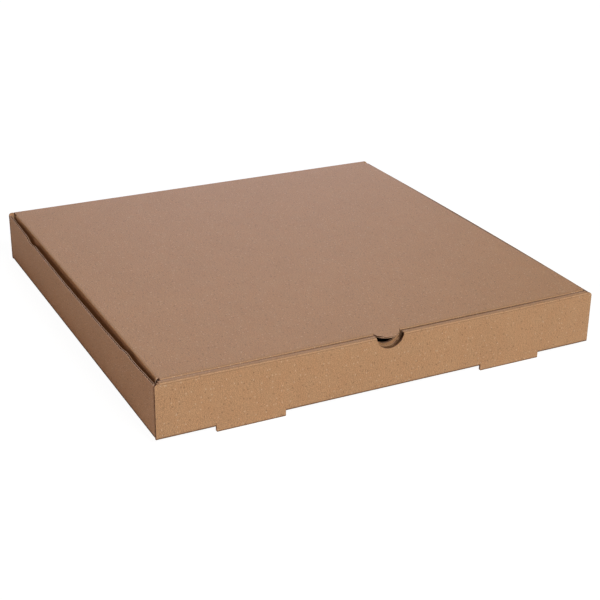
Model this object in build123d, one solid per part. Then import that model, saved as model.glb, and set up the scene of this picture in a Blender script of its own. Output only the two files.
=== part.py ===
"""Pizza box folded from one die-cut blank of thin corrugated board.

Millimetres. +Z is up, the front wall faces -Y, and the origin is the middle of
the base panel's underside. The blank is two solids that meet at the lid's
crease: the tray (base, side walls with corner flaps, back wall and the double
front wall) and the lid (top panel, tongue, tuck flap and side flaps).
"""
import os

from build123d import *

# Box and board
box_width = 330.0  # front wall, end to end
box_depth = 330.0  # front face to back face
box_height = 39.0  # base underside to lid top
board = 1.5  # thickness of the fluted board
fold_inside = 0.3  # inside radius of a crease
layer_gap = 0.1  # air between two layers that lie on each other

# Front wall
ear = 3.5  # outer panel past the rolled-over strip, each end
ear_radius = 2.3  # rounding of a wall's free top corner
ear_drop = 0.3  # free top corner, below the lid's top
notch_radius = 10.5  # thumb notch
notch_depth = 9.4  # thumb notch, down from the lid's top

# Feet, slots and lock tabs
foot_length = 48.5
foot_spacing = 198.0  # between the middles of the feet
foot_shift = -1.5  # the pair of feet, off the middle of the front
foot_radius = 0.6  # rounding of a foot's corners
slot_clearance = 0.4  # behind the lock tab
tab_shortfall = 0.6  # lock tab shorter than its slot, each end
tab_reach = 1.4  # lock tab below the base's underside
tab_radius = 1.2  # rounding of a lock tab's corners

# Side walls
side_drop = 1.5  # cut top edge, below the lid's top
left_bow = 2.4  # how far the left top edge bulges out at mid-length
right_bow = 2.0  # how far the right top edge bulges out at mid-length
scoop_place = 99.5  # shallow dip in the left top edge, behind the middle
scoop_length = 19.0
scoop_depth = 2.0
hump_place = -116.5  # low rise in the left top edge, in front of the middle
hump_length = 17.0
hump_height = 1.2

# Corner flaps
flap_length = 72.0
flap_bevel = 7.0  # how far the free end's corners are cut back
flap_clearance = 0.3  # below the strip and above the base

# Lid
lid_clearance = 1.3  # between the lid's side flaps and the side walls
front_clearance = 0.3  # between the lid's tuck flap and the inner front wall
tuck_height = 31.0
tuck_inset = 2.0  # tuck flap's ends, inside the lid's side creases
tuck_radius = 9.0  # rounding of the tuck flap's free corners
tuck_slack = 0.4  # air left as the tuck flap's free edge swings past the front wall
side_flap_height = 29.0
side_flap_lean = 1.0  # free edge, inwards of the crease
side_flap_taper = 9.0  # how far the side flap's ends slope in
front_relief = 3.0  # lid's front crease to the side flap's front end
back_relief = 9.0  # back wall's face to the side flap's back end
corner_relief = 1.4  # lid's edge behind the side flaps, stepped in
hinge_gap = 0.3  # between tray and lid at the lid's crease

# Tongue
tongue_radius = 10.25
tongue_reach = 7.0  # from the middle of the lid's front crease to the tip
tongue_slit = 0.3  # air round the tongue

# Places that follow from the sizes
fold_outside = fold_inside + board
fold_room = 2 * fold_outside  # length of board that a crease's section takes in
half_width = box_width / 2
half_depth = box_depth / 2
wall_split = box_height - fold_room  # where a wall meets its top crease
strip_width = 3 * board + 2 * layer_gap  # outer wall, corner flap and inner wall
strip_half = half_width - ear
outer_back = -half_depth + board  # rear face of the outer front wall
inner_back = -half_depth + strip_width  # rear face of the inner front wall
slot_back = inner_back + slot_clearance
foot_drop = slot_back - outer_back  # a foot is the board cut from its slot
foot_middles = (foot_shift - foot_spacing / 2, foot_shift + foot_spacing / 2)
notch_middle = box_height - notch_depth + notch_radius
flap_face = half_depth - board - layer_gap  # outer face of a corner flap
wall_end = flap_face - fold_room  # where a side wall meets its corner flap
side_top = box_height - side_drop
lid_half = half_width - board - lid_clearance
lid_under = box_height - board
tuck_face = inner_back + front_clearance
tuck_half = lid_half - tuck_inset
tuck_swing = tuck_height**2 / (2 * (half_depth - tuck_face))
hinge_half = lid_half - corner_relief
tongue_tip = tuck_face + board / 2 - tongue_reach
hole_middle = box_height - board / 2 - tongue_reach + tongue_radius
outside = 5.0  # how far a cutting shape reaches past the board


def block(x, y, z):
    """Box between two values on each axis."""
    middle = ((x[0] + x[1]) / 2, (y[0] + y[1]) / 2, (z[0] + z[1]) / 2)
    return Pos(*middle) * Box(x[1] - x[0], y[1] - y[0], z[1] - z[0])


def bent(points, side):
    """Section of folded board: the path of its outer face, thickened inwards."""
    path = FilletPolyline(*points, radius=fold_outside)
    return make_face(offset(path, amount=board, side=side, closed=True))


def folded(plane, points, side, half_length):
    """Folded board with a section in the given plane, extruded both ways."""
    return extrude(plane * bent(points, side), amount=half_length, both=True)


def across(z, radius, low, high):
    """Round cutting shape along Y over the middle of the front, from low to high."""
    rod = Rot(90, 0, 0) * Cylinder(radius, high - low)
    return Pos(0, (low + high) / 2, z) * rod


def base_panel():
    """Flat base between its four creases."""
    x = half_width - fold_outside
    y = half_depth - fold_outside
    return block((-x, x), (-y, y), (0, board))


def wall_root(sign):
    """Crease and main height of the front (-1) or back (1) wall, over the full width."""
    face = sign * half_depth
    points = [(face - sign * fold_room, 0), (face, 0), (face, wall_split)]
    side = Side.LEFT if sign > 0 else Side.RIGHT
    return folded(Plane.YZ, points, side, half_width)


def ears(sign, gap_half):
    """Free top corners of the front or back wall, past its top crease."""
    near = sign * half_depth
    far = sign * (half_depth - board)
    top = box_height - ear_drop
    panel = block((-half_width, half_width), sorted((near, far)), (wall_split, top))
    panel = fillet(panel.edges().filter_by(Axis.Y).group_by(Axis.Z)[-1], ear_radius)
    return panel - block((-gap_half, gap_half), sorted((near, far)), (wall_split, top))


def rolled_strip():
    """Top crease, strip and inner front wall."""
    points = [
        (-half_depth, wall_split),
        (-half_depth, box_height),
        (inner_back, box_height),
        (inner_back, board + layer_gap),
    ]
    return folded(Plane.YZ, points, Side.RIGHT, strip_half)


def foot(middle):
    """Stock of a slot, left on the outer front wall below the base."""
    half = foot_length / 2
    ends = (middle - half, middle + half)
    shape = block(ends, (-half_depth, outer_back), (-foot_drop, fold_room))
    return fillet(shape.edges().filter_by(Axis.Y).group_by(Axis.Z)[0], foot_radius)


def slot(middle):
    """Opening that a foot leaves in the base."""
    half = foot_length / 2
    ends = (middle - half, middle + half)
    return block(ends, (outer_back, slot_back), (-outside, fold_outside))


def lock_tab(middle):
    """Tab on the inner front wall, down through its slot."""
    half = foot_length / 2 - tab_shortfall
    ends = (middle - half, middle + half)
    shape = block(ends, (inner_back - board, inner_back), (-tab_reach, fold_room))
    return fillet(shape.edges().filter_by(Axis.Y).group_by(Axis.Z)[0], tab_radius)


def front_wall():
    """Outer wall with its feet, strip and inner wall, and the thumb notch through all three."""
    wall = wall_root(-1) + rolled_strip() + ears(-1, strip_half)
    for middle in foot_middles:
        wall += foot(middle)
    notch = across(notch_middle, notch_radius, -half_depth - outside, inner_back + outside)
    return wall - notch


def plain_outline():
    """Right side wall above its bottom crease, seen from the side."""
    low = (-wall_end, fold_room)
    high = (wall_end, side_top)
    return make_face(Polyline(low, (high[0], low[1]), high, (low[0], high[1]), close=True))


def worn_outline():
    """Left side wall above its bottom crease: its top edge has a low hump and a shallow scoop."""
    hump_start = (hump_place - hump_length / 2, side_top)
    hump_end = (hump_place + hump_length / 2, side_top)
    scoop_start = (scoop_place - scoop_length / 2, side_top)
    scoop_end = (scoop_place + scoop_length / 2, side_top)
    front = Polyline((-wall_end, fold_room), (-wall_end, side_top), hump_start)
    hump = ThreePointArc(hump_start, (hump_place, side_top + hump_height), hump_end)
    level = Line(hump_end, scoop_start)
    scoop = ThreePointArc(scoop_start, (scoop_place, side_top - scoop_depth), scoop_end)
    back = Polyline(scoop_end, (wall_end, side_top), (wall_end, fold_room), (-wall_end, fold_room))
    return make_face([*front.edges(), hump, level, scoop, *back.edges()])


def bowed_slab(bow):
    """Right side wall's board, straight at its crease and bulging out along its top."""
    reach = side_top + hump_height + outside
    lean = bow * (reach - fold_room) / (side_top - fold_room)
    inner = half_width - board
    sections = []
    for place, shift in ((-wall_end, 0), (0, lean), (wall_end, 0)):
        corners = [(inner, fold_room), (half_width, fold_room)]
        corners += [(half_width + shift, reach), (inner + shift, reach)]
        plane = Plane((0, place, 0), x_dir=(1, 0, 0), z_dir=(0, -1, 0))
        sections.append(plane * make_face(Polyline(*corners, close=True)))
    return loft(sections)


def corner_flap(sign):
    """Rounded corner and flap at the back (1) or front (-1) end of the right side wall."""
    face = sign * flap_face
    points = [(half_width, sign * wall_end), (half_width, face), (half_width - flap_length, face)]
    section = bent(points, Side.LEFT if sign > 0 else Side.RIGHT)
    low = board + flap_clearance
    flap = Pos(0, 0, low) * extrude(section, amount=lid_under - flap_clearance - low)
    return chamfer(flap.edges().filter_by(Axis.Y).group_by(Axis.X)[0], flap_bevel)


def side_wall(bow, outline):
    """Side wall on the right with its bottom crease and corner flaps."""
    points = [(half_width - fold_room, 0), (half_width, 0), (half_width, fold_room)]
    wall = folded(Plane.XZ, points, Side.LEFT, wall_end)
    wall += bowed_slab(bow) & extrude(Plane.YZ * outline, amount=box_width)
    return wall + corner_flap(1) + corner_flap(-1)


def hinge_fold(half_length):
    """Crease between the back wall and the lid, before it is parted."""
    points = [(half_depth, wall_split), (half_depth, box_height), (half_depth - back_relief, box_height)]
    return folded(Plane.YZ, points, Side.LEFT, half_length)


def hinge_plane(shift):
    """Mitre through the crease's outer corner, moved towards the lid by shift."""
    normal = Vector(0, -1, 1).normalized()
    corner = Vector(0, half_depth, box_height)
    return Plane(corner + normal * shift, x_dir=(1, 0, 0), z_dir=normal)


def tray():
    """Everything below the lid's crease, as one folded sheet."""
    shape = base_panel() + front_wall()
    shape += side_wall(right_bow, plain_outline())
    shape += side_wall(left_bow, worn_outline()).mirror(Plane.YZ)
    crease = hinge_fold(hinge_half + hinge_gap)
    crease = split(crease, bisect_by=hinge_plane(-hinge_gap / 2), keep=Keep.BOTTOM)
    shape += wall_root(1) + crease + ears(1, hinge_half + hinge_gap)
    for middle in foot_middles:
        shape -= slot(middle)
    for middle in foot_middles:
        shape += lock_tab(middle)
    return shape


def tuck_flap():
    """Front crease and tuck flap, leaning in far enough to swing past the front wall."""
    free = (tuck_face + tuck_swing + tuck_slack, box_height - tuck_height)
    points = [(tuck_face + fold_room, box_height), (tuck_face, box_height), free]
    flap = folded(Plane.YZ, points, Side.LEFT, tuck_half)
    outline = Rectangle(2 * tuck_half, 2 * tuck_height)
    outline = fillet(outline.vertices(), tuck_radius)
    window = extrude(Plane.XZ * Pos(0, box_height) * outline, amount=half_depth)
    return flap & window


def tongue():
    """Half-moon in the lid's plane, cut out of the tuck flap."""
    disc = Pos(0, tongue_tip + tongue_radius) * Circle(tongue_radius)
    root = tuck_face + fold_room
    keep = block((-half_width, half_width), (tongue_tip - outside, root), (lid_under, box_height))
    return Pos(0, 0, lid_under) * extrude(disc, amount=board) & keep


def side_flap():
    """Right side crease and flap of the lid."""
    free = (lid_half - side_flap_lean, box_height - side_flap_height)
    points = [(lid_half - fold_room, box_height), (lid_half, box_height), free]
    flap = folded(Plane.XZ, points, Side.RIGHT, half_depth)
    front = tuck_face + front_relief
    back = half_depth - back_relief
    bend = box_height - fold_outside
    low = free[1] - board
    corners = [(front, box_height), (front, bend), (front + side_flap_taper, low)]
    corners += [(back - side_flap_taper, low), (back, bend), (back, box_height)]
    return flap & extrude(Plane.YZ * make_face(Polyline(*corners, close=True)), amount=box_width)


def lid():
    """Everything past the lid's crease, as one folded sheet."""
    inner = lid_half - fold_outside
    front = tuck_face + fold_outside
    thickness = (lid_under, box_height)
    shape = block((-hinge_half, hinge_half), (front, half_depth - fold_room), thickness)
    shape += block((-inner, inner), (front, half_depth - back_relief), thickness)
    shape += split(hinge_fold(hinge_half), bisect_by=hinge_plane(hinge_gap / 2), keep=Keep.TOP)
    shape += tuck_flap()
    shape += side_flap()
    shape += side_flap().mirror(Plane.YZ)
    far = front + tongue_slit
    hole = across(hole_middle, tongue_radius + tongue_slit, tuck_face - outside, far)
    return shape - hole + tongue()


os.makedirs("parts", exist_ok=True)
export_step(tray(), "parts/tray.step")
export_step(lid(), "parts/lid.step")
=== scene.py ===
"""Looks of the pizza box: fluted kraft board, made flat and folded along its creases.

Each panel group is drawn as a flat outline with its cuts and holes, given two liners and
a wavy medium between them, and folded round. Sizes are in millimetres until a mesh is made.
Only lamps, the floor's size and what Blender's own settings need are in metres.
"""

import math

import bpy
import numpy as np
from mathutils import Matrix, Vector
from mathutils.geometry import delaunay_2d_cdt


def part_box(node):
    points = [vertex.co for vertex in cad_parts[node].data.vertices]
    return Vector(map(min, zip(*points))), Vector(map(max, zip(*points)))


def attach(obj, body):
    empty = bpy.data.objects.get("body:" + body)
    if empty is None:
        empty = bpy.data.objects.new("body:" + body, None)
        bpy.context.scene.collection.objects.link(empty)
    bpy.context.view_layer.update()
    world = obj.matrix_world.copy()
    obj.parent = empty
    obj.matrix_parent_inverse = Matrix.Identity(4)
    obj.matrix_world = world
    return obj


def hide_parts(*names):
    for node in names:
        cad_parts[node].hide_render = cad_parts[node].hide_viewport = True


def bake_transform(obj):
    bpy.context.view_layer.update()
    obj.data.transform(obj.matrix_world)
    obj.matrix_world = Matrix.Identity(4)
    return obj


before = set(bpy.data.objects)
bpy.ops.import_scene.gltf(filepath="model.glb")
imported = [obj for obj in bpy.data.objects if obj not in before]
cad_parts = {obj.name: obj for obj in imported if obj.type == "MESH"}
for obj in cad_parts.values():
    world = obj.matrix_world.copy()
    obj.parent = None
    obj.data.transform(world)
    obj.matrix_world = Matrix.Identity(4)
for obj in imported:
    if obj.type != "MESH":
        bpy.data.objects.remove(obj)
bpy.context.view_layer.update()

MILLIMETRE = 0.001  # in metres

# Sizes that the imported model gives
tray_low, tray_high = (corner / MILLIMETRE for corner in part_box("tray"))
lid_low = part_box("lid")[0] / MILLIMETRE
half_depth = tray_high.y
height = tray_high.z
foot_drop = -tray_low.z
tongue_tip = lid_low.y
tuck_end = lid_low.z

# Box and board
half_width = 165.0
board = 1.5
liner = 0.24
medium = 0.2
flute_pitch = 3.46
layer_gap = 0.1
kerf = 0.2  # width of a cut between two pieces of the same blank
left_bow = -tray_low.x - half_width
right_bow = tray_high.x - half_width

# Creases
fold_outside = 1.1  # outside radius
fold_room = 2 * fold_outside  # strip of a panel, beside its edge, that goes into a crease
crease_share = 0.6  # of the board's thickness, where the creasing rule has pressed it
crease_taper = 1.6  # length over which it is back to full thickness
score_width = 0.45  # of the line that the rule leaves at each end of a bend
score_depth = 0.14

# Front wall, its ears beside the strip, and the thumb notch
ear = 3.5
ear_radius = 2.3
ear_drop = 0.3
ear_top = height - ear_drop
strip_half = half_width - ear
inner_back = -half_depth + 3 * board + 2 * layer_gap
notch_radius = 10.5
notch_depth = 9.4
notch_middle = height - notch_depth + notch_radius
notch_surround = 1.6 * notch_radius  # beside its middle, where the cut edges are painted dark for shade

# Feet, with the base's slots and the lock tabs in them
foot_length = 48.5
foot_half = foot_length / 2
foot_spacing = 198.0
foot_offset = -1.5
foot_middles = (foot_offset - foot_spacing / 2, foot_offset + foot_spacing / 2)
foot_radius = 0.6
slot_gap = 0.4  # behind a lock tab
slot_back = inner_back + slot_gap
tab_gap = 0.6  # beside a lock tab
tab_half = foot_half - tab_gap
tab_reach = 1.4
tab_radius = 1.2

# Side walls and corner flaps
side_drop = 1.5
side_top = height - side_drop
hump_place, hump_length, hump_height = -116.5, 17.0, 1.2
scoop_place, scoop_length, scoop_depth = 99.5, 19.0, 2.0
flap_face = half_depth - board - layer_gap
wall_end = flap_face - fold_room
flap_length = 72.0
flap_bevel = 7.0
flap_gap = 0.3  # under and over a corner flap
flap_low = board + flap_gap
flap_high = height - board - flap_gap

# Lid panel and the crease that joins it to the back wall
lid_clearance = 1.3
lid_half = half_width - board - lid_clearance
hinge_inset = 1.4
hinge_half = lid_half - hinge_inset
hinge_slit = 0.3  # between the crease and the back wall's ears
crease_low = height - fold_outside - board
crease_in = half_depth - fold_outside - board

# Tuck flap: it leans back at its foot, so that it clears the front wall as the lid swings
tuck_gap = 0.3
tuck_inset = 2.0
tuck_face = inner_back + tuck_gap
tuck_half = lid_half - tuck_inset
tuck_drop = height - tuck_end
tuck_foot_gap = 0.4
tuck_foot = tuck_face + tuck_drop**2 / (2 * (half_depth - tuck_face)) + tuck_foot_gap
tuck_radius = 9.0

# Tongue, and the hole in the tuck flap that it was cut from
tongue_radius = 10.25
tongue_reach = 7.0
tongue_slit = 0.3
hole_middle = height - board / 2 - tongue_reach + tongue_radius

# Side flaps of the lid
side_flap_height = 29.0
side_flap_end = height - side_flap_height
side_flap_lean = 8.0  # height over which a flap leans to its free place
side_flap_taper = 9.0
side_flap_gap = 3.0  # before its front end
side_flap_inset = 9.0  # of its back end
side_flap_front = tuck_face + side_flap_gap
side_flap_back = half_depth - side_flap_inset

# How the closed lid lies: moved to the right, and bowed there with the wall
lid_shift = 1.1
lid_bow = 0.9
shift_start, shift_reach = 30.0, 100.0  # of the width over which the move begins
shift_back = 30.0  # distance from the hinge at which it is whole

# Sag of the front edge: its depth in the middle, how far back it reaches, and the share of
# it that is added towards the right, which ends over the last stretch there
tray_sag = 0.8
lid_sag = 0.3
sag_reach = 120.0
right_sag_share = 0.5
right_sag_end = 40.0

# Painted shade: dark stretches along bottom creases, in the groove before the lid, on the foot tips
# and between layers at the notch
shade_strength = 2.0  # as a multiple of a score line's
tip_shade_width = 0.7  # of the painted shade on the foot tips
groove_left = 0.25  # darkness of the painted shade in the groove before the lid, at its left end
groove_whole = half_width / 3  # place across from which it is fully dark

# Offset in depth that gives each layer its own stretch of the paper's pattern
blank_step = 37.0

# Fineness of the meshes, and where a wall or flap is cut so that it can bow and sag
flute_steps = 8
bend_steps = 6
grid_step = 30.0
wall_step = 16.0
wall_rows = (12, 20, 28)
flap_columns = (20, 40, 60)
sharp_angle = 35.0
cut_tolerance = 1e-4

# Materials of a sheet, in this order: paper, light cut edges, and the dark medium and cut edges of
# painted shade
PAPER, CUT, DARK_SHADE = 0, 1, 2

# Tones of the liners, of light cut edges, of the medium and dark cut edges (painted shade, far
# darker than the paper), of pale specks, and the two tints
liner_tone = (0.43, 0.24, 0.118)
cut_tone = (0.6, 0.38, 0.25)
medium_shade_tone = (0.11, 0.04, 0.018)
pale_tone = (0.75, 0.58, 0.42)
warm_tint = (1.0, 0.975, 0.95)
cool_tint = (1.0, 1.02, 1.03)
dark_speck_share = 0.3  # of the paper's tone
line_share = (0.4, 0.36, 0.3)  # of the paper's tone, on score lines and the painted shade of creases and grooves

# Noise patterns of the paper: scale across the flutes, along them and in depth, in cycles
# per millimetre, then detail and roughness
cloud_pattern = ((0.025, 0.035, 1), 3.0, 0.6)
grain_pattern = ((1.7, 1.5, 1), 1.0, 0.5)
fibre_pattern = ((0.5, 0.9, 1), 2.0, 0.6)
tint_pattern = ((0.09, 0.13, 1), 2.0, 0.5)
noise_span = (0.3, 0.7)  # where most of a noise's values lie
cloud_share = 0.1  # against the grain's 1
fibre_share = 0.35
shade_middle, shade_reach = 0.725, 0.3  # of their sum
contrast = 0.4  # of the tone, between its middle and its lightest or darkest

# Specks: scale as above, size in cells, share of the cells that have one, and strength
speck_patterns = {
    "brown": ((0.17, 0.24, 1), 0.15, 0.3, 0.5),
    "small": ((0.4, 0.55, 1), 0.24, 0.22, 0.32),
    "pale": ((0.23, 0.33, 1), 0.17, 0.2, 0.38),
}
speck_core = 0.4  # share of a speck's size that has its full colour

# Score lines and painted shade are patchy, weaker where the fibre pattern is low
line_fibre = (0.35, 0.6)
line_strength = (0.25, 0.75)

# Gloss and relief of the paper, the relief's depth in metres
roughness_span = (0.56, 0.7)
relief_strength = 0.8
relief_depth = 0.00014

# Floor and world: what lights the box, and what the camera sees
floor_size = 6.0
floor_bounce = (0.65, 0.65, 0.65)
floor_seen = (0.9, 0.9, 0.9)
floor_glow = 1.07
floor_glow_share = 0.9
world_strength = 0.07
white = (1.0, 1.0, 1.0)

# Lamps: place, size, power and colour
lamps = {
    "key": ((0.72, -3.36, 2.88), 1.6, 177.0, (1.0, 0.99, 0.975)),
    "back": ((0.75, 1.76, 0.5), 1.2, 16.0, (0.9, 0.8, 0.93)),
    "left": ((-1.9, -0.5, 0.5), 1.0, 10.2, (1.0, 0.75, 0.7)),
}

# Camera
camera_place = (-404.1, -833.9, 409.9)
camera_aim = (3.2, -57.83, 20.0)
camera_roll = 1.047
camera_lens = 78.847
camera_sensor = 36
camera_shift = -0.0333
camera_near = 0.05


class Path:
    """Outer face of folded board seen end on: straight runs joined by round creases.

    The board lies on the right of the path's direction (side 1) or on its left (-1). A run
    is its start along the path, its first point, its direction and whether it is a bend.
    """

    def __init__(self, points, side, axis=1):
        points = [np.array(point, float) for point in points]
        self.side = side
        self.axis = axis  # which axis of the flat board the path runs along
        self.runs = []
        self.bends = []
        here = points[0]
        reach = 0.0
        for i in range(1, len(points)):
            direction = unit(points[i] - points[i - 1])
            turn = 0.0
            if i < len(points) - 1:
                after = unit(points[i + 1] - points[i])
                turn = math.acos(float(np.clip(direction @ after, -1, 1)))
            setback = fold_outside * math.tan(turn / 2)
            end = points[i] - direction * setback
            self.runs.append((reach, here, direction, False))
            reach += float(np.linalg.norm(end - here))
            if turn:
                self.runs.append((reach, end, direction, True))
                self.bends.append((reach, reach + turn * fold_outside))
                reach += turn * fold_outside
                here = points[i] + after * setback
        self.length = reach
        self.shade_stretches = []  # stretches of painted shade: start, end, and strength at the left
        self.tip = 0  # how far along the path the unfolded pieces get painted shade

    def at(self, along, depth):
        """Two coordinates of points at a distance along the path and a depth below it."""
        place = np.zeros((len(along), 2))
        starts = [run[0] for run in self.runs]
        index = np.clip(np.searchsorted(starts, along, side="right") - 1, 0, None)
        depth = depth * (1 - (1 - crease_share) * self.crush(along))
        for k, (start, point, direction, bent) in enumerate(self.runs):
            pick = index == k
            far = (along[pick] - start)[:, None]
            down = depth[pick][:, None]
            inward = self.side * np.array([direction[1], -direction[0]])
            if bent:
                angle = far / fold_outside
                spoke = direction * np.sin(angle) - inward * np.cos(angle)
                place[pick] = point + fold_outside * inward + (fold_outside - down) * spoke
            else:
                place[pick] = point + far * direction + down * inward
        return place.T

    def cuts(self):
        """Distances along the path at which the mesh is cut, so that it can bend."""
        painted_shade = [np.linspace(*bend, bend_steps + 1) for bend in self.bends]
        for margin in (score_width, crease_taper):
            painted_shade += [(start - margin, end + margin) for start, end in self.bends]
        return np.concatenate(painted_shade)

    def score(self, along):
        """1 on the lines that the creasing rule leaves at both ends of a bend, 0 beside them."""
        ends = np.array(self.bends).ravel()
        return (np.abs(along[:, None] - ends).min(1) < score_width / 4).astype(float)

    def painted_darkness(self, across, along):
        """1 on the stretches of painted shade, less at the left end of some, 0 elsewhere."""
        dark = np.zeros(len(along))
        for start, end, left in self.shade_stretches:
            share = np.interp(across, (-half_width, groove_whole), (left, 1))
            dark = np.maximum(dark, share * ((along > start) & (along < end)))
        return dark

    def crush(self, along):
        """1 in a crease, where the flutes are pressed flat, falling to 0 beside it."""
        pressed = np.zeros(len(along))
        for start, end in self.bends:
            away = np.maximum(start - along, along - end)
            pressed = np.maximum(pressed, 1 - np.clip(away / crease_taper, 0, 1))
        return pressed


def unit(vector):
    return vector / np.linalg.norm(vector)


def arc(middle, radius, start, end, steps):
    """Points on a circle between two angles in degrees, both ends included."""
    angles = np.radians(np.linspace(start, end, steps + 1))
    return [(middle[0] + radius * math.cos(t), middle[1] + radius * math.sin(t)) for t in angles]


def rise(middle, length, level, bulge, steps=12):
    """Points of a shallow arc that leaves the level by bulge at its middle."""
    start = middle - length / 2
    half = length / 2
    radius = (half**2 + bulge**2) / (2 * abs(bulge))
    offsets = np.linspace(-half, half, steps + 1)
    heights = np.sqrt(radius**2 - offsets**2) - (radius - abs(bulge))
    return [(start + half + o, level + math.copysign(h, bulge)) for o, h in zip(offsets, heights)]


def mirrored(points):
    """Points of a left edge, from those of the right edge."""
    return [(-x, along) for x, along in reversed(points)]


def steps_between(low, high, step):
    """Evenly spaced values strictly between two limits."""
    count = max(1, round((high - low) / step))
    return np.linspace(low, high, count + 1)[1:-1]


def inside(points, loops):
    """Which points lie inside the outline and outside the holes."""
    result = np.zeros(len(points), bool)
    for loop in loops:
        loop = np.array(loop)
        for (x0, y0), (x1, y1) in zip(loop, np.roll(loop, -1, 0)):
            if y0 == y1:
                continue
            spans = (y0 > points[:, 1]) != (y1 > points[:, 1])
            crossing = x0 + (points[:, 1] - y0) * (x1 - x0) / (y1 - y0)
            result ^= spans & (points[:, 0] < crossing)
    return result


def flat_mesh(loops, cuts):
    """Points and triangles of a flat outline with holes, cut along lines of constant value.

    cuts holds the lines' places on each of the two axes.
    """
    points = []
    edges = []
    for loop in loops:
        first = len(points)
        points += [Vector(point) for point in loop]
        edges += [(first + i, first + (i + 1) % len(loop)) for i in range(len(loop))]
    overshoot = 1  # of a cut's line past the outline
    low = np.min(loops[0], axis=0) - overshoot
    high = np.max(loops[0], axis=0) + overshoot
    for axis in (0, 1):
        for value in cuts[axis]:
            if low[axis] + overshoot < value < high[axis] - overshoot:
                edges.append((len(points), len(points) + 1))
                for end in (low, high):
                    point = Vector(end)
                    point[axis] = value
                    points.append(point)
    flat, _, faces, *_ = delaunay_2d_cdt(points, edges, [], 0, cut_tolerance)
    flat = np.array(flat)
    faces = np.array(faces)
    faces = faces[inside(flat[faces].mean(1), loops)]
    used, faces = np.unique(faces, return_inverse=True)
    return flat[used], faces.reshape(-1, 3)


def rim_of(triangles):
    """Sides that only one triangle has: those on the outline and on the holes."""
    sides = np.concatenate([triangles[:, [0, 1]], triangles[:, [1, 2]], triangles[:, [2, 0]]])
    sides = sides.tolist()
    known = {tuple(side) for side in sides}
    return np.array([side for side in sides if (side[1], side[0]) not in known])


def inside_out(points, triangles, quads):
    """Whether the faces of a closed mesh look inwards, by the sign of its volume."""
    fans = np.concatenate([triangles, quads[:, [0, 1, 2]], quads[:, [0, 2, 3]]])
    first, second, third = points[fans].transpose(1, 0, 2)
    return np.einsum("ij,ij->", first, np.cross(second, third)) < 0


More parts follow.
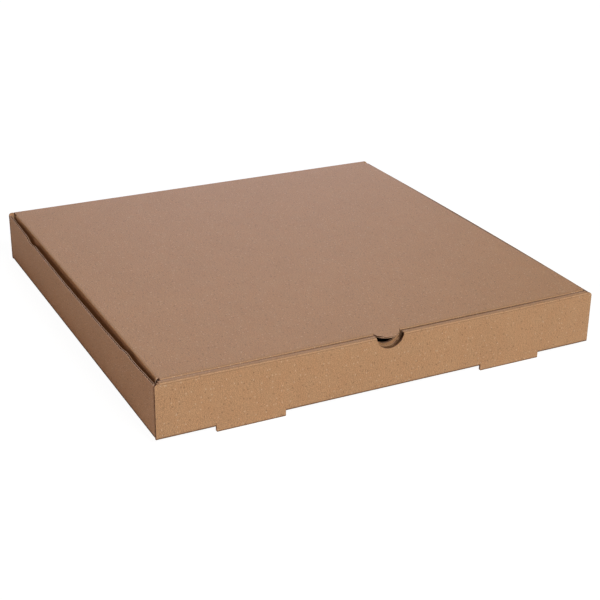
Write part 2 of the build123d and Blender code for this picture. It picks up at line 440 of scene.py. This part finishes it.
class Sheet:
    """Collects closed shells and turns them into one mesh object."""

    def __init__(self):
        self.points = []
        self.faces = []
        self.kinds = []  # each face's material
        self.blank = []  # each point's place on the flat blank, for the paper's pattern
        self.painted_shade = []  # how dark the painted shade of score-line dents, creases, grooves and foot tips makes each point
        self.count = 0

    def add_shell(self, flat, triangles, low, high, fold, blank, painted_shade, kinds, edges=None):
        """Adds a layer between two depths, folded into place, with its cut edges closed.

        kinds are the materials of the layer's faces and of its cut edges. edges gives
        another material for some of the cut edges, and 0 for the rest.
        """
        count = len(flat)
        outer = fold(flat[:, 0], flat[:, 1], low)
        inner = fold(flat[:, 0], flat[:, 1], high)
        points = np.concatenate([outer, inner])
        rim = rim_of(triangles)
        skins = np.concatenate([triangles, triangles[:, ::-1] + count])
        walls = np.stack([rim[:, 1], rim[:, 0], rim[:, 0] + count, rim[:, 1] + count], 1)
        if inside_out(points, skins, walls):
            skins = skins[:, ::-1]
            walls = walls[:, ::-1]
        self.points.append(points)
        self.faces += (skins + self.count).tolist() + (walls + self.count).tolist()
        edge_kinds = np.full(len(walls), kinds[1])
        if edges:
            other = edges(*flat[rim].mean(1).T)
            edge_kinds = np.where(other, other, edge_kinds)
        self.kinds += [kinds[0]] * len(skins) + edge_kinds.tolist()
        for depth in (low, high):
            self.blank.append(np.column_stack([blank, depth + blank_step * len(self.blank)]))
            self.painted_shade.append(painted_shade)
        self.count += 2 * count

    def add_board(self, loops, fold, across, cuts, path, unfolded=None, edges=None, hidden=None):
        """Adds both liners and the medium of one panel group.

        across is the flat axis that runs across the flutes, and path is the fold's section,
        which runs along the flat's axis number path.axis. unfolded tells which points stay in
        their panel's plane beside a crease, and hidden where the inner liner gets painted shade,
        for the dark between two layers.
        """
        flat, triangles = flat_mesh(loops, cuts)
        along = flat[:, path.axis]
        blank = flat if across == 0 else flat[:, ::-1]
        plain = np.zeros(len(flat))
        scored = path.score(along)
        dark = path.painted_darkness(flat[:, 1 - path.axis], along)
        if unfolded:
            level = unfolded(flat[:, 0], along)
            scored *= ~level
            dark = np.where(level, along < path.tip, dark)
        dent = score_depth * scored
        painted_shade = np.maximum(scored, shade_strength * dark)
        self.add_shell(flat, triangles, dent, dent + liner, fold, blank, painted_shade, (PAPER, CUT), edges)
        low = plain + board - liner
        # Painted shade on the inner liner where it lies in the dark between two layers
        painted_shade = shade_strength * hidden(flat[:, 0], along) if hidden else plain
        self.add_shell(flat, triangles, low, low + liner, fold, blank, painted_shade, (PAPER, CUT), edges)

        # The medium's mesh is finer across the flutes, for its wave
        fine = list(cuts)
        span = np.array(loops[0])[:, across]
        fine[across] = np.arange(span.min(), span.max(), flute_pitch / flute_steps)
        flat, triangles = flat_mesh(loops, fine)
        along = flat[:, path.axis]
        blank = flat if across == 0 else flat[:, ::-1]
        plain = np.zeros(len(flat))
        wave = np.sin(2 * math.pi * flat[:, across] / flute_pitch)
        swing = (board / 2 - liner - medium / 2) * wave
        pressed = path.crush(along)
        if unfolded:
            pressed *= ~unfolded(flat[:, 0], along)
        low = (board / 2 - medium / 2 + swing) * (1 - pressed) + liner * pressed
        high = (board / 2 + medium / 2 + swing) * (1 - pressed) + (board - liner) * pressed
        low = np.maximum(low, score_depth * path.score(along) + liner)
        # The medium is painted near black-brown, as shade inside the flutes
        self.add_shell(flat, triangles, low, high, fold, blank, plain, (DARK_SHADE, CUT), edges)

    def make_object(self, name, materials):
        """Mesh object of all shells, with smooth folds and sharp cut edges."""
        mesh = bpy.data.meshes.new(name)
        points = np.concatenate(self.points) * MILLIMETRE
        mesh.from_pydata(points.tolist(), [], self.faces)
        for material in materials:
            mesh.materials.append(material)
        mesh.polygons.foreach_set("material_index", self.kinds)
        blank = mesh.attributes.new("blank", "FLOAT_VECTOR", "POINT")
        blank.data.foreach_set("vector", np.concatenate(self.blank).astype(np.float32).ravel())
        painted_shade = mesh.attributes.new("painted_shade", "FLOAT", "POINT")
        painted_shade.data.foreach_set("value", np.concatenate(self.painted_shade).astype(np.float32))
        mesh.shade_smooth()
        mesh.set_sharp_from_angle(angle=math.radians(sharp_angle))
        piece = bpy.data.objects.new(name, mesh)
        bpy.context.scene.collection.objects.link(piece)
        return piece


def settle(points, depth):
    """Lets the front edge sag by depth at its middle, and by a share of it at its right."""
    x, y, z = points.T
    middle = np.clip(1 - (x / half_width) ** 2, 0, 1)
    right = np.clip(x / half_width, 0, 1) * np.clip((half_width - x) / right_sag_end, 0, 1)
    front = np.clip(1 - (y + half_depth) / sag_reach, 0, 1)
    share = (middle + right_sag_share * right) * front**2 * np.clip(z / height, 0, 1)
    return np.column_stack([x, y, z - depth * share])


# Tray: back wall, base, front wall, strip and inner front wall
tray_path = Path(
    [
        (half_depth, ear_top),
        (half_depth, 0),
        (-half_depth, 0),
        (-half_depth, height),
        (inner_back, height),
        (inner_back, board + layer_gap),
    ],
    1,
)
back_bend, front_bend, top_bend, rear_bend = tray_path.bends
# Painted shade along both bottom creases and in the groove behind the strip
tray_path.shade_stretches = [
    (back_bend[0] - score_width, back_bend[1] + score_width, 1),
    (front_bend[0] - score_width, front_bend[1] + score_width, 1),
    (rear_bend[0] - score_width, rear_bend[1], groove_left),
]
# Painted shade on the foot tips, up to here
tray_path.tip = front_bend[1] - fold_outside - foot_drop + tip_shade_width


def on_base(y):
    """Distance along the tray's path of a place on the base."""
    return back_bend[1] + half_depth - fold_outside - y


def on_front(z):
    """Distance along the tray's path of a height on the outer front wall."""
    return front_bend[1] + z - fold_outside


def on_inner(z):
    """Distance along the tray's path of a height on the inner front wall."""
    return rear_bend[1] + height - fold_outside - z


def in_front_plane(x, along):
    """Ears and feet, which stay in the front wall's plane."""
    straight = (np.abs(x) > strip_half + kerf / 2) & (along > top_bend[0] - score_width / 2)
    foot_low = (on_front(-foot_drop) + on_base(slot_back)) / 2
    for middle in foot_middles:
        near = np.abs(x - middle) < foot_half + kerf / 2
        straight |= near & (along > foot_low) & (along < on_front(fold_room))
    return straight


def near_notch(x, along):
    """The upper half of the front walls and the strip, round the thumb notch."""
    return (np.abs(x) < notch_surround) & (along > on_front(height / 2))


def tray_edges(x, along):
    """Cut edges painted dark for shade at the outer wall's notch and ends, light ones at the inner
    wall's notch.
    """
    outer = along < (top_bend[0] + rear_bend[1]) / 2
    ends = (np.abs(x) > strip_half + ear / 2) & (along > front_bend[1])
    at_notch = np.where(outer, DARK_SHADE, CUT)
    elsewhere = np.where(ends & outer, DARK_SHADE, 0)
    return np.where(near_notch(x, along), at_notch, elsewhere)


def fold_tray(x, along, depth):
    """Folds the front-to-back strip of the blank."""
    y, z = tray_path.at(along, depth)
    straight = in_front_plane(x, along)
    y = np.where(straight, -half_depth + depth, y)
    z = np.where(straight, fold_outside + along - front_bend[1], z)
    return settle(np.column_stack([x, y, z]), tray_sag)


def tray_outline():
    """Right edge from the back wall's top to the inner wall's foot, then tabs and the left edge."""
    half = half_width
    crease = half - fold_room
    corner = half - ear_radius
    hinge_side = hinge_half + hinge_slit
    split = ear_top - crease_low
    front_top = on_front(ear_top)
    right = [(hinge_side, split), (hinge_side, 0)]
    right += arc((corner, ear_radius), ear_radius, -90, 0, steps=6)
    right += [(half, on_base(half_depth - fold_room)), (crease, on_base(wall_end))]
    right += [(crease, on_base(-wall_end)), (half, on_base(fold_room - half_depth))]
    right += arc((corner, front_top - ear_radius), ear_radius, 0, 90, steps=6)
    right += [(strip_half + kerf, front_top), (strip_half + kerf, top_bend[0])]
    right += [(strip_half, top_bend[0]), (strip_half, tray_path.length)]
    tabs = []
    for middle in reversed(foot_middles):
        tabs += lock_tab(middle)
    return right + tabs + mirrored(right)


def lock_tab(middle):
    """Lock tab at the inner wall's foot, from right to left."""
    root = tray_path.length
    end = root + board + layer_gap + tab_reach
    loop = [(middle + tab_half, root)]
    loop += arc((middle + tab_half - tab_radius, end - tab_radius), tab_radius, 0, 90, steps=5)
    loop += arc((middle - tab_half + tab_radius, end - tab_radius), tab_radius, 90, 180, steps=5)
    return loop + [(middle - tab_half, root)]


def notch():
    """Thumb notch: half-moons in the outer and inner wall, joined across the strip."""
    low_middle = on_front(notch_middle)
    high_middle = on_inner(notch_middle)
    tilt = math.degrees(math.asin((low_middle - top_bend[0]) / notch_radius))
    loop = arc((0, low_middle), notch_radius, 180 + tilt, 360 - tilt, steps=28)
    loop += [(notch_radius, top_bend[1]), (notch_radius, rear_bend[0])]
    loop += arc((0, high_middle), notch_radius, tilt, 180 - tilt, steps=28)
    return loop + [(-notch_radius, rear_bend[0]), (-notch_radius, top_bend[1])]


def foot_cut(middle):
    """U-shaped cut that frees a foot from the base and leaves its slot."""
    root = on_front(fold_room)
    low = on_front(-foot_drop)
    back = on_base(slot_back)
    out = foot_half + kerf
    corner = foot_half - foot_radius
    loop = [(middle - out, root), (middle - out, back), (middle + out, back)]
    loop += [(middle + out, root), (middle + foot_half, root)]
    loop += arc((middle + corner, low + foot_radius), foot_radius, 0, -90, steps=4)
    loop += arc((middle - corner, low + foot_radius), foot_radius, -90, -180, steps=4)
    return loop + [(middle - foot_half, root)]


def side_outline(path, worn):
    """Side wall with its bottom crease; a worn top edge has a low hump and a shallow scoop."""
    top = path.bends[0][1] + side_top - fold_outside
    edge = []
    if worn:
        edge += rise(hump_place, hump_length, top, hump_height)
        edge += rise(scoop_place, scoop_length, top, -scoop_depth)
    return [(wall_end, 0), (-wall_end, 0), (-wall_end, top), *edge, (wall_end, top)]


def add_side(sheet, sign, bow):
    """Right (1) or left (-1) side wall and its two corner flaps."""
    foot = half_width - fold_room
    path = Path([(foot, 0), (half_width, 0), (half_width, side_top)], -1)
    bend = path.bends[0]
    # Painted shade along the wall's bottom crease
    path.shade_stretches = [(bend[0] - score_width, bend[1] + score_width, 1)]

    def fold(y, along, depth):
        x, z = path.at(along, depth)
        bulge = 1 - (y / wall_end) ** 2
        x = x + bow * bulge * np.clip((z - fold_room) / (side_top - fold_room), 0, None)
        return settle(np.column_stack([sign * x, y, z]), tray_sag)

    cuts = (steps_between(-wall_end, wall_end, wall_step), np.append(path.cuts(), wall_rows))
    sheet.add_board([side_outline(path, worn=sign < 0)], fold, 0, cuts, path)
    for end in (1, -1):
        add_corner_flap(sheet, sign, end)


def add_corner_flap(sheet, sign, end):
    """Rounded corner and flap at the back (1) or front (-1) end of a side wall."""
    flap_end = half_width - flap_length
    points = [(half_width, wall_end), (half_width, flap_face), (flap_end, flap_face)]
    path = Path(points, -1, axis=0)
    far = path.length
    loop = [(0, flap_high), (0, flap_low)]
    loop += [(far - flap_bevel, flap_low), (far, flap_low + flap_bevel)]
    loop += [(far, flap_high - flap_bevel), (far - flap_bevel, flap_high)]

    def fold(along, z, depth):
        x, y = path.at(along, depth)
        return settle(np.column_stack([sign * x, end * y, z]), tray_sag)

    cuts = (np.append(path.cuts(), flap_columns), wall_rows)
    sheet.add_board([loop], fold, 0, cuts, path)


def make_tray(materials):
    """Tray piece, of the front-to-back strip and the two sides."""
    sheet = Sheet()
    path = tray_path
    tip_shade_ends = (path.tip - score_width / 2, path.tip + score_width / 2)
    rows = [path.cuts(), steps_between(0, path.length, grid_step), tip_shade_ends]
    columns = steps_between(-half_width, half_width, grid_step)
    cuts = (np.append(columns, (strip_half, -strip_half)), np.concatenate(rows))
    loops = [tray_outline(), notch(), *(foot_cut(middle) for middle in foot_middles)]
    sheet.add_board(loops, fold_tray, 1, cuts, path, in_front_plane, tray_edges, near_notch)
    add_side(sheet, 1, right_bow)
    add_side(sheet, -1, left_bow)
    piece = sheet.make_object("tray_board", materials)
    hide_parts("tray")
    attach(piece, "tray")


# Lid: panel, tongue and tuck flap
lid_path = Path([(crease_in, height), (tuck_face, height), (tuck_foot, tuck_end)], -1)
lid_bend = lid_path.bends[0]
# Painted shade in the groove before the lid, on its front crease
lid_path.shade_stretches = [(sum(lid_bend) / 2, lid_bend[1] + score_width, groove_left)]
tongue_middle = lid_bend[0] + tuck_face + fold_outside - (tongue_tip + tongue_radius)
slit_middle = lid_bend[1] + height - fold_outside - hole_middle


def on_lid(y):
    """Distance along the lid's path of a place on the lid panel."""
    return crease_in - y


def in_tongue(x, along):
    """The tongue, which stays in the lid's plane."""
    middle = (tongue_middle + slit_middle) / 2
    reach = tongue_radius + tongue_slit / 2
    near = np.hypot(x, along - middle) < reach
    return near & (along > lid_bend[0] - score_width / 2)


def settle_lid(x, y, z):
    """Moves the lid's sides to the right, and lets its front edge sag."""
    share = np.clip((np.abs(x) - shift_start) / shift_reach, 0, 1)
    bow = lid_bow * (x > 0) * np.clip(1 - (y / wall_end) ** 4, 0, 1)
    x = x + (lid_shift + bow) * share * np.clip((half_depth - y) / shift_back, 0, 1)
    return settle(np.column_stack([x, y, z]), lid_sag)


def fold_lid(x, along, depth):
    """Folds the front-to-back strip of the lid."""
    y, z = lid_path.at(along, depth)
    tongue = in_tongue(x, along)
    y = np.where(tongue, crease_in - along, y)
    z = np.where(tongue, height - depth, z)
    return settle_lid(x, y, z)


def lid_outline():
    """Right edge from the hinge to the tuck flap's rounded corner, then the left edge."""
    crease = lid_half - fold_room
    back = on_lid(side_flap_back)
    front = on_lid(side_flap_front)
    corner = (tuck_half - tuck_radius, lid_path.length - tuck_radius)
    right = [(hinge_half, 0), (hinge_half, back), (crease, back), (crease, front)]
    right += [(tuck_half, front), *arc(corner, tuck_radius, 0, 90, steps=10)]
    return right + mirrored(right)


def tongue_cut():
    """Slit round the tongue: down the hole's edge and back along the tongue's."""
    root = lid_bend[0] - tongue_slit
    hole = tongue_radius + tongue_slit
    wide = math.degrees(math.asin((root - slit_middle) / hole))
    narrow = math.degrees(math.asin((root - tongue_middle) / tongue_radius))
    loop = arc((0, slit_middle), hole, wide, 180 - wide, steps=32)
    return loop + arc((0, tongue_middle), tongue_radius, 180 - narrow, narrow, steps=32)


def add_side_flap(sheet, sign):
    """Crease and flap at the lid's right (1) or left (-1) side."""
    free = lid_half - sign * lid_shift / 2
    points = [(lid_half - fold_room, height), (lid_half, height)]
    points += [(free, height - side_flap_lean), (free, side_flap_end)]
    path = Path(points, 1)
    bend = path.bends[0][1]
    taper = side_flap_taper * (path.length - bend) / (path.length - bend + board)
    loop = [(side_flap_front, 0), (side_flap_back, 0), (side_flap_back, bend)]
    loop += [(side_flap_back - taper, path.length), (side_flap_front + taper, path.length)]
    loop += [(side_flap_front, bend)]

    def fold(y, along, depth):
        x, z = path.at(along, depth)
        return settle_lid(sign * x, y, z)

    columns = steps_between(-half_depth, half_depth, grid_step)
    cuts = (columns, np.append(path.cuts(), wall_rows[:2]))
    sheet.add_board([loop], fold, 0, cuts, path)


def make_lid(materials):
    """Lid piece, of the front-to-back strip and the two side flaps."""
    sheet = Sheet()
    rows = [lid_path.cuts(), steps_between(0, lid_path.length, grid_step)]
    cuts = (steps_between(-half_width, half_width, grid_step), np.concatenate(rows))
    loops = [lid_outline(), tongue_cut()]
    sheet.add_board(loops, fold_lid, 1, cuts, lid_path, in_tongue)
    add_side_flap(sheet, 1)
    add_side_flap(sheet, -1)
    piece = sheet.make_object("lid_board", materials)
    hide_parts("lid")
    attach(piece, "lid")


def make_crease(materials):
    """Crushed board between back wall and lid, folded round the hinge."""
    sheet = Sheet()
    path = Path([(half_depth, crease_low), (half_depth, height), (crease_in, height)], -1)
    half = hinge_half
    loop = [(-half, 0), (half, 0), (half, path.length), (-half, path.length)]

    def fold(x, along, depth):
        y, z = path.at(along, depth)
        return settle(np.column_stack([x, y, z]), lid_sag)

    rows = np.linspace(0, path.length, 3 * bend_steps)[1:-1]
    sheet.add_board([loop], fold, 1, (steps_between(-half, half, grid_step), rows), path)
    piece = sheet.make_object("lid_crease", materials)
    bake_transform(piece)


class Nodes:
    """Short calls for the node tree of a material or a world."""

    MIX_FACTOR, MIX_FIRST, MIX_SECOND, MIX_RESULT = 0, 6, 7, 2  # a Mix node's colour sockets

    def __init__(self, owner):
        owner.use_nodes = True
        self.tree = owner.node_tree

    def add(self, kind, settings=None, **inputs):
        """New node with its settings, and its inputs by name, with underscores for spaces."""
        node = self.tree.nodes.new(kind)
        for key, value in (settings or {}).items():
            setattr(node, key, value)
        for key, value in inputs.items():
            self.feed(node.inputs[key.replace("_", " ")], value)
        return node

    def feed(self, socket, value):
        """Links an output to a socket, or sets the socket's number, vector or colour."""
        if isinstance(value, bpy.types.NodeSocket):
            self.tree.links.new(value, socket)
        elif socket.type == "RGBA":
            socket.default_value = (*value, 1)
        else:
            socket.default_value = value

    def attribute(self, name, output):
        node = self.add("ShaderNodeAttribute", {"attribute_name": name})
        return node.outputs[output]

    def math(self, operation, first, second):
        node = self.add("ShaderNodeMath", {"operation": operation})
        self.feed(node.inputs[0], first)
        self.feed(node.inputs[1], second)
        return node.outputs[0]

    def mix(self, factor, first, second, mode="MIX"):
        node = self.add("ShaderNodeMix", {"data_type": "RGBA", "blend_type": mode})
        self.feed(node.inputs[self.MIX_FACTOR], factor)
        self.feed(node.inputs[self.MIX_FIRST], first)
        self.feed(node.inputs[self.MIX_SECOND], second)
        return node.outputs[self.MIX_RESULT]

    def blend(self, factor, first, second):
        """Mix of two shaders."""
        node = self.add("ShaderNodeMixShader")
        for socket, value in zip(node.inputs, (factor, first, second)):
            self.feed(socket, value)
        return node.outputs[0]

    def ramp(self, value, low, high, start=0.0, end=1.0):
        """Value carried from low and high to start and end, and held there beyond them."""
        inputs = {"Value": value, "From_Min": low, "From_Max": high, "To_Min": start, "To_Max": end}
        return self.add("ShaderNodeMapRange", {"clamp": True}, **inputs).outputs[0]

    def stretched(self, place, scale):
        node = self.add("ShaderNodeVectorMath", {"operation": "MULTIPLY"})
        self.feed(node.inputs[0], place)
        self.feed(node.inputs[1], scale)
        return node.outputs[0]

    def noise(self, place, scale, detail, roughness):
        place = self.stretched(place, scale)
        inputs = {"Vector": place, "Scale": 1.0, "Detail": detail, "Roughness": roughness}
        return self.add("ShaderNodeTexNoise", **inputs).outputs[0]

    def specks(self, place, scale, size, share):
        """1 in small round marks, in a share of the texture's cells."""
        place = self.stretched(place, scale)
        flat = {"voronoi_dimensions": "2D"}
        cells = self.add("ShaderNodeTexVoronoi", flat, Vector=place, Scale=1.0)
        channel = self.add("ShaderNodeSeparateColor", Color=cells.outputs["Color"])
        chosen = self.math("LESS_THAN", channel.outputs[0], share)
        near = self.ramp(cells.outputs["Distance"], size, size * speck_core)
        return self.math("MULTIPLY", chosen, near)


def kraft(name, tone):
    """Recycled kraft paper: clouds, grain, fibres, a slight tint, specks, and dark lines of painted
    shade on score lines, creases and grooves.
    """
    material = bpy.data.materials.new(name)
    nodes = Nodes(material)
    place = nodes.attribute("blank", "Vector")
    clouds = nodes.noise(place, *cloud_pattern)
    grain = nodes.noise(place, *grain_pattern)
    fibre = nodes.noise(place, *fibre_pattern)

    shade = nodes.math("ADD", nodes.math("MULTIPLY", clouds, cloud_share), grain)
    shade = nodes.math("ADD", shade, nodes.math("MULTIPLY", fibre, fibre_share))
    shade = nodes.ramp(shade, shade_middle - shade_reach, shade_middle + shade_reach)
    dark = [(1 - contrast) * c for c in tone]
    light = [(1 + contrast) * c for c in tone]
    colour = nodes.mix(shade, dark, light)
    tint = nodes.ramp(nodes.noise(place, *tint_pattern), *noise_span)
    colour = nodes.mix(1.0, colour, nodes.mix(tint, warm_tint, cool_tint), "MULTIPLY")

    dark_tone = [dark_speck_share * c for c in tone]
    for kind, (scale, size, share, strength) in speck_patterns.items():
        specks = nodes.specks(place, scale, size, share)
        speck_tone = pale_tone if kind == "pale" else dark_tone
        colour = nodes.mix(nodes.math("MULTIPLY", specks, strength), colour, speck_tone)

    # Painted shade: score-line dents, creases, grooves, foot tips and the dark between layers
    patches = nodes.ramp(fibre, *line_fibre, *line_strength)
    lines = nodes.math("MULTIPLY", nodes.attribute("painted_shade", "Fac"), patches)
    line_tone = [share * c for share, c in zip(line_share, tone)]
    colour = nodes.mix(lines, colour, line_tone)

    relief = nodes.math("ADD", fibre, grain)
    settings = {"Height": relief, "Strength": relief_strength, "Distance": relief_depth}
    bump = nodes.add("ShaderNodeBump", **settings)
    shader = nodes.tree.nodes["Principled BSDF"]
    nodes.feed(shader.inputs["Base Color"], colour)
    nodes.feed(shader.inputs["Roughness"], nodes.ramp(grain, *noise_span, *roughness_span))
    nodes.feed(shader.inputs["Normal"], bump.outputs[0])
    return material


def floor_material():
    """Pale floor that the camera sees as white, but for the object's soft shadow."""
    material = bpy.data.materials.new("floor")
    nodes = Nodes(material)
    nodes.tree.nodes.clear()
    seen = nodes.add("ShaderNodeLightPath").outputs["Is Camera Ray"]
    colour = nodes.mix(seen, floor_bounce, floor_seen)
    pale = nodes.add("ShaderNodeBsdfDiffuse", Color=colour)
    glow = nodes.add("ShaderNodeEmission", Color=white, Strength=floor_glow)
    share = nodes.math("MULTIPLY", seen, floor_glow_share)
    surface = nodes.blend(share, pale.outputs[0], glow.outputs[0])
    nodes.add("ShaderNodeOutputMaterial", Surface=surface)
    return material


def make_floor():
    """Floor that the box stands on, with its front feet and its back edge."""
    tilt = math.atan2(foot_drop, 2 * half_depth)
    bpy.ops.mesh.primitive_plane_add(size=floor_size)
    floor = bpy.context.object
    floor.name = "floor"
    floor.rotation_euler = (tilt, 0, 0)
    floor.location = (0, 0, -foot_drop / 2 * MILLIMETRE)
    floor.data.materials.append(floor_material())


def make_world():
    """Weak even light from all sides, which the camera sees as white."""
    world = bpy.data.worlds.new("studio")
    bpy.context.scene.world = world
    nodes = Nodes(world)
    nodes.tree.nodes.clear()
    seen = nodes.add("ShaderNodeLightPath").outputs["Is Camera Ray"]
    soft = nodes.add("ShaderNodeBackground", Color=white, Strength=world_strength)
    bright = nodes.add("ShaderNodeBackground", Color=white, Strength=1.0)
    surface = nodes.blend(seen, soft.outputs[0], bright.outputs[0])
    nodes.add("ShaderNodeOutputWorld", Surface=surface)


def add_lamp(name, place, size, power, colour):
    """Square lamp that faces the box."""
    lamp = bpy.data.lights.new(name, "AREA")
    lamp.shape = "SQUARE"
    lamp.size = size
    lamp.energy = power
    lamp.color = colour
    holder = bpy.data.objects.new(name, lamp)
    holder.location = place
    holder.rotation_mode = "QUATERNION"
    holder.rotation_quaternion = (-Vector(place)).to_track_quat("-Z", "Y")
    bpy.context.scene.collection.objects.link(holder)


def make_camera():
    """Camera at the photograph's place, level but for a small roll."""
    data = bpy.data.cameras.new("camera")
    data.sensor_width = camera_sensor
    data.lens = camera_lens
    data.shift_x = camera_shift
    data.clip_start = camera_near
    camera = bpy.data.objects.new("camera", data)
    place = Vector(camera_place) * MILLIMETRE
    aim = Vector(camera_aim) * MILLIMETRE
    turn = (aim - place).to_track_quat("-Z", "Y").to_matrix().to_4x4()
    roll = Matrix.Rotation(math.radians(camera_roll), 4, "Z")
    camera.matrix_world = Matrix.Translation(place) @ turn @ roll
    bpy.context.scene.collection.objects.link(camera)
    bpy.context.scene.camera = camera


sheet_materials = [
    kraft("kraft_liner", liner_tone),
    kraft("kraft_cut", cut_tone),
    kraft("kraft_medium_shade", medium_shade_tone),
]
make_tray(sheet_materials)
make_lid(sheet_materials)
make_crease(sheet_materials)

make_floor()
make_world()
for name, settings in lamps.items():
    add_lamp(name, *settings)
make_camera()
bpy.context.scene.view_settings.view_transform = "Standard"
